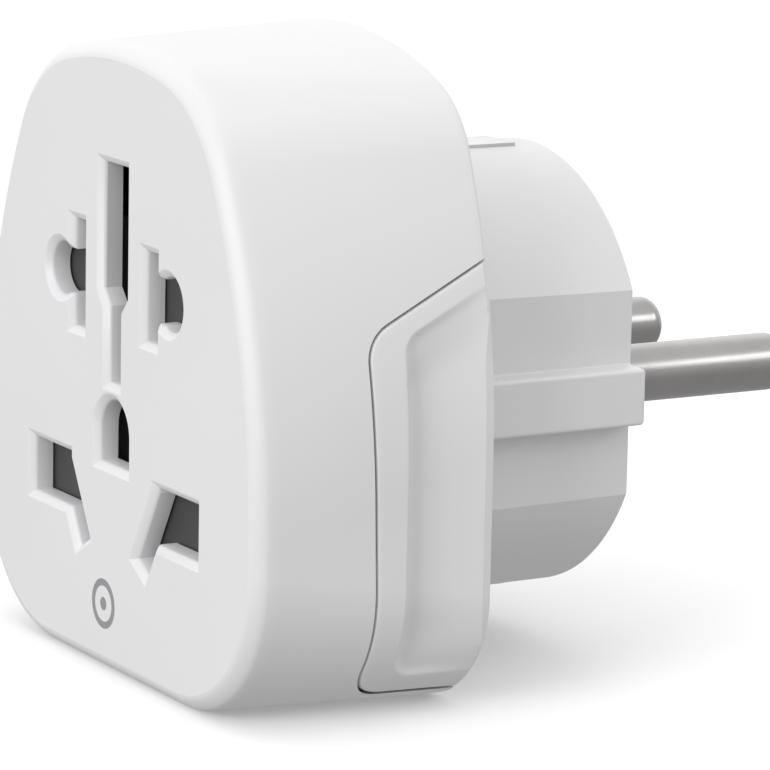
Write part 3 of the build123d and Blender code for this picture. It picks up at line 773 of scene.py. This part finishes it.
def wing_sheet(sizes):
    """Grid of (y, z, inset) over the outside of one wing, from the seam in to the rear edge."""
    count, rear_bevel = 150, 0.5
    seam = clipped(seam_path(), REAR_Y, count)
    rim = clipped(grip_path(), REAR_Y, count)
    core_z = np.linspace(rim[0][1], rim[-1][1], count)
    core = np.stack([np.full(count, REAR_Y), core_z], 1)
    # share of the way from the seam to the rim, and the rounding of the edge there
    flange = [(0.0, 0.16), (0.012, 0.07), (0.035, 0.015), (0.07, 0), (0.2, 0), (0.4, 0), (0.6, 0)]
    flange += [(share, 0) for share in np.linspace(0.7, 1.0, 9)]
    floor = (0.012, 0.025, 0.04, 0.06, 0.08, 0.105, 0.135, 0.17, 0.21, 0.26, 0.32, 0.4)
    floor += (0.5, 0.6, 0.7, 0.8, 0.9, 1.0)
    rows = [(lerp(seam, rim, share), edge, False) for share, edge in flange]
    rows += [(lerp(rim, core, share), 0, True) for share in floor]
    out = []
    for points, edge, inside in rows:
        rear = np.clip((points[:, 0] - REAR_Y) / rear_bevel + 1, 0, 1)
        inset = np.maximum(edge + hollow_depth(points, inside, sizes.grip_depth), rear_bevel * rear)
        out.append(np.column_stack([points, inset]))
    return out


def add_wing(bm, sizes, side):
    """One side panel of the rear shell: outer sheet, inner sheet and the edges between."""
    sheet = wing_sheet(sizes)
    outer = [[(side * HOUSING.side_x(y, z, i), y, z) for y, z, i in row] for row in sheet]
    inner = [[(side * HOUSING.side_x(y, z, sizes.wall + 0.3), y, z) for y, z, _ in row] for row in sheet]
    outer, inner = add_grid(bm, outer), add_grid(bm, inner)
    for end in (0, -1):
        add_bridge(bm, outer[end], inner[end])
    for end in (0, -1):
        add_bridge(bm, [row[end] for row in outer], [row[end] for row in inner])


def add_lip(bm, side, wall):
    """Lip behind the seam, lapped inside the front shell's wall."""
    ahead_of_seam, behind_seam, gap, thickness = 1.15, 0.8, 0.1, 0.9
    path = seam_path()
    along = np.gradient(path, axis=0)
    along /= np.linalg.norm(along, axis=1)[:, None]
    away = np.stack([along[:, 1], -along[:, 0]], 1)
    edges = [clipped(path + away * shift, PLATE_LOW - 0.2, 110) for shift in (ahead_of_seam, -behind_seam)]
    outer, inner = wall + gap, wall + gap + thickness
    loop = []
    for points, inset in ((edges[0], outer), (edges[1], outer), (edges[1], inner), (edges[0], inner)):
        loop.append([bm.verts.new((side * HOUSING.side_x(y, z, inset), y, z)) for y, z in points])
    for a, b in zip(loop, loop[1:] + loop[:1]):
        add_bridge(bm, a, b)
    for end in (0, -1):
        bm.faces.new([row[end] for row in loop])


# ------------------------------------------------------------------ screw and spring trees
def screw_tree():
    """Pan-head screws along +Y with a cross recess, one at each point."""
    t = Tree("cross_screws", {
        "Head Radius": 0.0022, "Head Height": 0.0016, "Dome Drop": 0.0003, "Shank Radius": 0.0011,
        "Length": 0.0116, "Recess Length": 0.0026, "Recess Width": 0.0006, "Recess Depth": 0.0009})
    half = t["Head Height"] * 0.5
    head = t.moved(t.node("GeometryNodeMeshCylinder", None, {
        "Vertices": 40, "Side Segments": 3, "Fill Segments": 4,
        "Radius": t["Head Radius"], "Depth": t["Head Height"]}), t.vector(Z=half))
    place = t.node("GeometryNodeInputPosition")
    x, y, z = (t.node("ShaderNodeSeparateXYZ", None, {0: place}, axis) for axis in range(3))
    out = (x * x + y * y).root() / t["Head Radius"]
    upper = t.node("FunctionNodeCompare", {"data_type": "FLOAT", "operation": "GREATER_THAN"}, {
        0: z, 1: half})
    domed = t.node("GeometryNodeSetPosition", None, {
        "Geometry": head, "Selection": upper, "Offset": t.vector(Z=out ** 4.0 * t["Dome Drop"] * -1)})
    # the two bars that cut the cross are as tall as the head and reach down into it by the depth
    long, thin, tall = t["Recess Length"], t["Recess Width"], t["Head Height"]
    lift = t.vector(Z=tall * 1.5 - t["Recess Depth"])
    bars = []
    for width, height in ((long, thin), (thin, long)):
        bar = t.node("GeometryNodeMeshCube", None, {"Size": t.vector(X=width, Y=height, Z=tall)})
        bars.append(t.moved(bar, lift))
    recess = t.node("GeometryNodeMeshBoolean", {"operation": "DIFFERENCE", "solver": "EXACT"}, {
        "Mesh 1": domed, "Mesh 2": t.node("GeometryNodeJoinGeometry", None, {"Geometry": bars}),
        "Self Intersection": True})
    shank = t.moved(t.node("GeometryNodeMeshCylinder", None, {
        "Vertices": 24, "Radius": t["Shank Radius"], "Depth": t["Length"]}), t.vector(Z=t["Length"] * -0.5))
    t.close(t.node("GeometryNodeInstanceOnPoints", None, {
        "Points": t["Geometry"], "Rotation": (math.radians(-90), 0, 0),
        "Instance": t.node("GeometryNodeJoinGeometry", None, {"Geometry": [recess, shank]})}))
    return t


def spring_tree():
    """A coil of round wire that stands up from each point."""
    t = Tree("coil_springs", {
        "Coil Radius": 0.00095, "Wire Radius": 0.00017, "Height": 0.01506, "Turns": 10.75})
    coil = t.node("GeometryNodeCurveSpiral", None, {
        "Resolution": 20, "Rotations": t["Turns"], "Height": t["Height"],
        "Start Radius": t["Coil Radius"], "End Radius": t["Coil Radius"]})
    wire = t.node("GeometryNodeCurvePrimitiveCircle", None, {"Resolution": 10, "Radius": t["Wire Radius"]})
    solid = t.node("GeometryNodeCurveToMesh", None, {
        "Curve": coil, "Profile Curve": wire, "Fill Caps": True})
    t.close(t.node("GeometryNodeInstanceOnPoints", None, {"Points": t["Geometry"], "Instance": solid}))
    return t


# ------------------------------------------------------------------ pieces
def fit(obj, node):
    """Rides the piece on the housing, in place of its CAD node."""
    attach(obj, "housing")
    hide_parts(node)


def boxed(x_half, z_low, z_high):
    """Closed outline of a box centred in x."""
    return np.array([(-x_half, z_low), (x_half, z_low), (x_half, z_high), (-x_half, z_high)])


class ADAPTER_OT_front_shell(Operator):
    """Builds the white front shell with its bevelled openings"""

    bl_idname = "adapter.front_shell"
    bl_label = "Front shell"

    def moulding(self, sizes):
        """The shell as one closed skin of rings, from the face to the rear rim and back inside."""
        bevel, soft, wall = sizes.face_bevel, sizes.edge_soft, sizes.wall
        depth = REAR_Y - FACE_Y
        lip = [(0.0, bevel + soft), (0.05, bevel + 0.35 * soft), (0.16, bevel - 0.45 * soft)]
        rings = lip + [(inset, deep) for deep, inset in lip[::-1]]
        rings += [(deep, 0.0) for deep in np.linspace(bevel + 1.2, depth - 1.0, 16)]
        rear_rim = ((0.62, 0.0), (0.45, 0.03), (0.1, 0.38), (0.02, 0.5), (0.0, 0.62))
        rings += [(depth - ahead, inset) for ahead, inset in rear_rim]
        rings += [(depth, wall - 0.25), (depth - 0.2, wall), (depth - 4, wall)]
        rings += [(deep, wall) for deep in (12.0, 8.0, 4.0, wall)]
        bm = bmesh.new()
        add_rings(bm, [
            (FACE_Y + deep, HOUSING.ring(FACE_Y + deep, inset, sizes.ring_steps)) for deep, inset in rings])
        return new_object("front_shell_moulding", bm)

    def execute(self, context):
        sizes, finish = context.scene.adapter_sizes, context.scene.adapter_finish
        shell = self.moulding(sizes)
        cutters = [
            opening_cutter(f"opening_{i}", outline, sizes.aperture_bevel, sizes.wall + 1.0)
            for i, outline in enumerate(opening_outlines())
        ]
        past_side = HOUSING.side_r
        window = grown(seam_path(), sizes.seam_gap)
        cutters.append(side_prism("seam_window", window, -past_side, past_side))
        cut(shell, cutters)
        post_radius, post_bore = 2.6, 1.2
        posts = bmesh.new()
        for x, z in SCREWS:
            add_tube(posts, x, z, post_radius, post_bore, FACE_Y + sizes.wall - 0.2, POST_Y)
        cut(shell, [new_object("posts", posts)], "UNION")
        smooth(shell)
        dress(shell, white_plastic(finish, printed=True))
        fit(shell, "front_shell")
        return {"FINISHED"}


class ADAPTER_OT_rear_shell(Operator):
    """Builds the rear shell: the two gripped wings, the rear plate and the round plug"""

    bl_idname = "adapter.rear_shell"
    bl_label = "Rear shell and plug"

    def plate(self, sizes):
        """The plate that closes the front shell, with a soft rear edge."""
        edge = sizes.wall + sizes.seam_gap
        profile = ((PLATE_LOW, 0.0), (PLATE_HIGH - 0.2, 0.0), (PLATE_HIGH - 0.06, 0.06), (PLATE_HIGH, 0.2))
        bm = bmesh.new()
        add_rings(bm, [(y, HOUSING.ring(y, edge + inset, sizes.ring_steps)) for y, inset in profile])
        return new_object("rear_shell_moulding", bm)

    def plug_outline(self, sizes, radius):
        """Round plug with a flat on each side and a guide rib along the flat."""
        flat, rib, half, spare = 16.4, 18.6, sizes.rib_width / 2, 3.0
        up = math.degrees(math.acos(flat / radius))
        corners = [(flat, -half - spare), (flat, -half), (rib, -half), (rib, half), (flat, half),
                   (flat, half + spare)]
        right = [tuple(p) for p in rounded(corners, (0.18, 0.3, 0.3, 0.18), 4)[1:-1]]
        flat_top = radius * math.sin(math.radians(up))
        top = arc(0, 0, radius, up, 180 - up, 72) + [(-flat, flat_top)]
        turned = [(-x, -z) for x, z in right + top]
        return np.array(right + top + turned)

    def plug(self, sizes):
        """The plug body, which narrows a little towards its end."""
        taper = math.tan(math.radians(0.3))
        straight = [(y, 0.0) for y in (PLATE_LOW + 0.4, -12.0, -6.0, -0.5)]
        soft_end = [(-0.31, 0.04), (-0.15, 0.15), (-0.04, 0.31), (0.0, 0.5)]
        bm = bmesh.new()
        add_rings(bm, [
            (y, grown(self.plug_outline(sizes, sizes.plug_radius - taper * (y - PLATE_LOW)), -inset))
            for y, inset in straight + soft_end])
        return new_object("plug_body", bm)

    def hollows(self):
        """Cutters for the plug's hollow, its holes, the clips' grooves and the screws' sinks."""
        start = PLATE_LOW - 1
        bore, half_width, earth_radius = 16.2, 14.6, 2.75
        hollow = np.array([(np.clip(x, -half_width, half_width), z) for x, z in circle(0, 0, bore, 96)])
        cutters = [
            prism("hollow", hollow, start, END_WALL_Y),
            prism("earth_hole", circle(0, EARTH_Z, earth_radius, 64), END_WALL_Y - 0.8, 1),
            prism("earth_relief", boxed(2.3, EARTH_Z, 18.2), start, -15.2),
        ]
        groove_low, groove_high, groove_half, groove_end = 17.93, 18.93, 2.25, -2.8
        cutters += [
            prism("top_groove", boxed(groove_half, groove_low, groove_high), start, groove_end),
            prism("bottom_groove", boxed(groove_half, -groove_high, -groove_low), start, groove_end),
        ]
        for i, (x, z) in enumerate(SCREWS):
            cutters.append(prism(f"screw_sink_{i}", circle(x, z, 2.35), SCREW_SEAT, REAR_Y + 1))
        for pole, x in (("line", PIN_X), ("neutral", -PIN_X)):
            cutters.append(prism(f"{pole}_pin_hole", circle(x, 0, 2.22), END_WALL_Y - 0.8, 0.5))
            cutters.append(prism(f"{pole}_pin_mouth", circle(x, 0, 2.42), -0.1, 1))
        return cutters

    def inner_parts(self, sizes):
        """The screw collars, bosses, pillars, wings and lips, which are moulded on."""
        bm = bmesh.new()
        for x, z in SCREWS:
            add_tube(bm, x, z, 3.0, 2.36, SCREW_SEAT, PLATE_LOW + 0.1)
            add_tube(bm, x, z, 3.0, 1.25, POST_Y, SCREW_SEAT)
        for side in (1, -1):
            add_tube(bm, side * PIN_X, 0, 4.0, 2.22, BOSS_Y, END_WALL_Y + 0.1)
            add_tube(bm, side * 16, BLADE_Z + 2, 1.5, 0, POST_Y - 3, PLATE_LOW + 0.1)
            add_wing(bm, sizes, side)
            add_lip(bm, side, sizes.wall)
        add_tube(bm, 0, EARTH_Z, 4.6, 3.25, BOSS_Y, END_WALL_Y + 0.1)
        return new_object("inner_parts", bm)

    def execute(self, context):
        sizes, finish = context.scene.adapter_sizes, context.scene.adapter_finish
        shell = self.plate(sizes)
        cut(shell, [self.plug(sizes)], "UNION")
        cut(shell, self.hollows())
        inner = self.inner_parts(sizes)
        whole = bmesh.new()
        whole.from_mesh(shell.data)
        whole.from_mesh(inner.data)
        whole.to_mesh(shell.data)
        whole.free()
        bpy.data.objects.remove(inner)
        smooth(shell, 20)
        dress(shell, white_plastic(finish))
        fit(shell, "rear_shell")
        return {"FINISHED"}


class ADAPTER_OT_pins(Operator):
    """Builds the two turned and plated pins"""

    bl_idname = "adapter.pins"
    bl_label = "Plug pins"

    def profile(self, low, high, radius):
        """Turned profile as (y, radius): tail with its groove, collar, root, pin and round tip."""
        tail, groove, collar, root, tip = 1.9, 1.45, 3.4, 2.2, 1.5
        points = [(low, tail), (low + 0.15, 2.1), (low + 0.6, 2.1), (low + 0.6, groove)]
        points += [(low + 1.4, groove), (low + 1.4, tail), (BOSS_Y - 1.2, tail)]
        points += [(BOSS_Y - 1.2, collar - 0.15), (BOSS_Y - 1.05, collar), (BOSS_Y - 0.15, collar)]
        points += [(BOSS_Y, collar - 0.15), (BOSS_Y, root), (0.0, root), (0.0, radius - 0.05), (0.05, radius)]
        points += [(high - tip * (1 - math.sin(a)), radius - tip * (1 - math.cos(a)))
                   for a in np.radians(np.linspace(0, 90, 12))]
        return points

    def execute(self, context):
        sizes, finish = context.scene.adapter_sizes, context.scene.adapter_finish
        metal = plated(finish, "nickel_drawn", (5000, 120, 5000), 1.0, 0.16)
        for pole, x in (("line", PIN_X), ("neutral", -PIN_X)):
            low, high = box_mm(f"{pole}_pin")
            bm = bmesh.new()
            add_rings(bm, [(y, circle(x, 0, radius, 72))
                           for y, radius in self.profile(low[1], high[1], sizes.pin_radius)])
            pin = new_object(f"{pole}_pin_turned", bm)
            smooth(pin, 32)
            dress(pin, metal)
            fit(pin, f"{pole}_pin")
        return {"FINISHED"}


class ADAPTER_OT_screws(Operator):
    """Builds the three housing screws with their cross recesses"""

    bl_idname = "adapter.screws"
    bl_label = "Housing screws"

    def execute(self, context):
        finish = context.scene.adapter_finish
        low, _ = box_mm("housing_screws")
        screws = screw_tree().grow("housing_screws_set", [(x, SCREW_SEAT, z) for x, z in SCREWS], {
            "Material": plated(finish, "zinc_plate", (3000, 3000, 3000), 0.85, 0.3),
            "Length": (SCREW_SEAT - low[1]) * MM})
        smooth(screws, 35)
        fit(screws, "housing_screws")
        return {"FINISHED"}


class ADAPTER_OT_springs(Operator):
    """Builds the two shutter springs"""

    bl_idname = "adapter.springs"
    bl_label = "Shutter springs"

    def execute(self, context):
        finish = context.scene.adapter_finish
        wire = plated(finish, "spring_wire", (2500, 2500, 2500), 0.75, 0.22)
        wire_radius, pitch = 0.17, 1.4
        joint = frame["joints"][0]
        travel = joint["range_m"][1]
        for hand in ("left", "right"):
            low, high = box_mm(f"shutter_spring_{hand}")
            foot = ((low[0] + high[0]) / 2, (low[1] + high[1]) / 2, low[2] + wire_radius)
            height = high[2] - low[2] - 2 * wire_radius
            spring = spring_tree().grow(f"spring_coil_{hand}", [foot], {
                "Material": wire, "Wire Radius": wire_radius * MM, "Height": height * MM,
                "Turns": height / pitch})
            smooth(spring, 60)
            fit(spring, f"shutter_spring_{hand}")
            length = float(high[2] - low[2]) * MM
            joint["name"]
            float(high[2]) * MM
            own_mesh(spring)
        return {"FINISHED"}


class ADAPTER_OT_inner_parts(Operator):
    """Gives the shutter, the carrier and the contacts their finishes"""

    bl_idname = "adapter.inner_parts"
    bl_label = "Shutter, carrier and contacts"

    def execute(self, context):
        finish = context.scene.adapter_finish
        looks = {
            "contact_brass": rolled_brass(finish),
            # the strips' nickel is 1.75 times as pale as the pins' nickel: a painted highlight, so that their tops
            # look white
            "nickel": plated(finish, "nickel_strip", (300, 6000, 300), 1.75, 0.3),
            "carrier_plastic": dark_plastic(finish, "carrier_plastic", 0.55, 0.5),
            "shutter_plastic": dark_plastic(finish, "shutter_plastic", 1.0, 0.38),
        }
        for part in frame["record"]["subparts"]:
            node = frame["nodes"][part["node"]]
            if not node.hide_render:
                dress(node, looks[part["material_slot"]])
        return {"FINISHED"}


class ADAPTER_OT_stage(Operator):
    """Adds the pale floor, the soft lights and the camera"""

    bl_idname = "adapter.stage"
    bl_label = "Floor, lights and camera"

    def floor(self):
        """Wide sheet of pale paper just under the adapter, which is only seen and lights nothing."""
        half_size, clearance = 6000, 0.01
        bm = bmesh.new()
        bmesh.ops.create_grid(bm, x_segments=24, y_segments=24, size=half_size * MM)
        bmesh.ops.translate(bm, vec=(0, 0, (FRONT_LOW[2] - clearance) * MM), verts=bm.verts)
        mesh = bpy.data.meshes.new("floor")
        bm.to_mesh(mesh)
        bm.free()
        floor = bpy.data.objects.new("floor", mesh)
        bpy.context.scene.collection.objects.link(floor)
        b = ShaderBoard(bpy.data.materials.new("floor_paper"))
        tone = b.mix(b.noise(3.0, 2.0, 0.5), (0.97, 0.97, 0.97), (0.99, 0.99, 0.99))
        dress(floor, b.finish(Base_Color=tone, Roughness=0.9, Specular_IOR_Level=0.1))
        floor.visible_diffuse = floor.visible_glossy = False

    def light(self, name, place, width, height, power):
        """Soft rectangular light that faces the middle of the adapter."""
        middle = Vector((0, -0.02, 0))
        lamp = bpy.data.lights.new(name, "AREA")
        lamp.shape = "RECTANGLE"
        lamp.size, lamp.size_y, lamp.energy = width, height, power
        obj = bpy.data.objects.new(name, lamp)
        obj.location = place
        obj.rotation_mode = "QUATERNION"
        obj.rotation_quaternion = (middle - Vector(place)).to_track_quat("-Z", "Y")
        bpy.context.scene.collection.objects.link(obj)

    def surround(self, scene, stage):
        """Even light all round, dimmer from below than from above, and brighter behind the adapter."""
        scene.world = bpy.data.worlds.new("studio")
        b = ShaderBoard(scene.world)
        way = b.node("ShaderNodeTexCoord", output="Generated")
        height = b.node("ShaderNodeSeparateXYZ", None, {0: way}, "Z")
        share = height.step(stage.sky_low_end, stage.sky_high_end)
        facing = {0: way, 1: tuple(stage.camera_aim)}
        behind = b.node("ShaderNodeVectorMath", {"operation": "DOT_PRODUCT"}, facing, "Value")
        backdrop = behind.step(0.25, 0.8) * height.step(-0.25, 0.1) * stage.backdrop
        strength = stage.sky_low + share * (stage.sky_high - stage.sky_low) + backdrop
        light = b.node("ShaderNodeBackground", None, {"Color": (1, 1, 1), "Strength": strength})
        b.node("ShaderNodeOutputWorld", None, {"Surface": light})

    def camera(self, scene, stage):
        """Camera at its place, turned along its aim and leaned by its roll."""
        camera = bpy.data.cameras.new("camera")
        camera.sensor_width = 36
        camera.lens = stage.lens
        camera.clip_start, camera.clip_end = 0.01, 20
        eye = bpy.data.objects.new("camera", camera)
        scene.collection.objects.link(eye)
        scene.camera = eye
        aim = Vector(stage.camera_aim).normalized()
        level = aim.to_track_quat("-Z", "Y")
        eye.rotation_mode = "QUATERNION"
        eye.rotation_quaternion = Quaternion(aim, -stage.camera_roll) @ level
        eye.location = stage.camera_place

    def execute(self, context):
        scene, stage = context.scene, context.scene.adapter_stage
        self.floor()
        self.surround(scene, stage)
        self.light("top", (0.05, -0.05, 0.80), 0.6, 0.6, stage.top_power)
        self.light("key", (0.24, -0.77, 0.26), 0.5, 0.5, stage.key_power)
        self.light("back", (0.42, 0.52, 0.34), 0.30, 0.22, stage.back_power)
        self.camera(scene, stage)
        scene.view_settings.view_transform = "Standard"
        return {"FINISHED"}


class ADAPTER_PT_panel(Panel):
    """Sidebar panel that lists the adapter's pieces"""

    bl_idname = "ADAPTER_PT_panel"
    bl_label = "Travel adapter"
    bl_space_type = "VIEW_3D"
    bl_region_type = "UI"
    bl_category = "Adapter"

    def draw(self, context):
        layout, scene = self.layout, context.scene
        for group in (scene.adapter_sizes, scene.adapter_finish, scene.adapter_stage):
            column = layout.column(align=True)
            for key in group.__annotations__:
                column.prop(group, key)
        for operator in OPERATORS:
            layout.operator(operator.bl_idname)


GROUPS = (AdapterSizes, AdapterFinish, AdapterStage)
OPERATORS = (
    ADAPTER_OT_front_shell,
    ADAPTER_OT_rear_shell,
    ADAPTER_OT_pins,
    ADAPTER_OT_screws,
    ADAPTER_OT_springs,
    ADAPTER_OT_inner_parts,
    ADAPTER_OT_stage,
)


def register():
    for item in GROUPS + OPERATORS + (ADAPTER_PT_panel,):
        bpy.utils.register_class(item)
    bpy.types.Scene.adapter_sizes = PointerProperty(type=AdapterSizes)
    bpy.types.Scene.adapter_finish = PointerProperty(type=AdapterFinish)
    bpy.types.Scene.adapter_stage = PointerProperty(type=AdapterStage)


def unregister():
    del bpy.types.Scene.adapter_stage
    del bpy.types.Scene.adapter_finish
    del bpy.types.Scene.adapter_sizes
    for item in reversed(GROUPS + OPERATORS + (ADAPTER_PT_panel,)):
        bpy.utils.unregister_class(item)


def main():
    register()
    bpy.ops.adapter.front_shell()
    bpy.ops.adapter.rear_shell()
    bpy.ops.adapter.pins()
    bpy.ops.adapter.screws()
    bpy.ops.adapter.springs()
    bpy.ops.adapter.inner_parts()
    bpy.ops.adapter.stage()


if __name__ == "__main__":
    main()
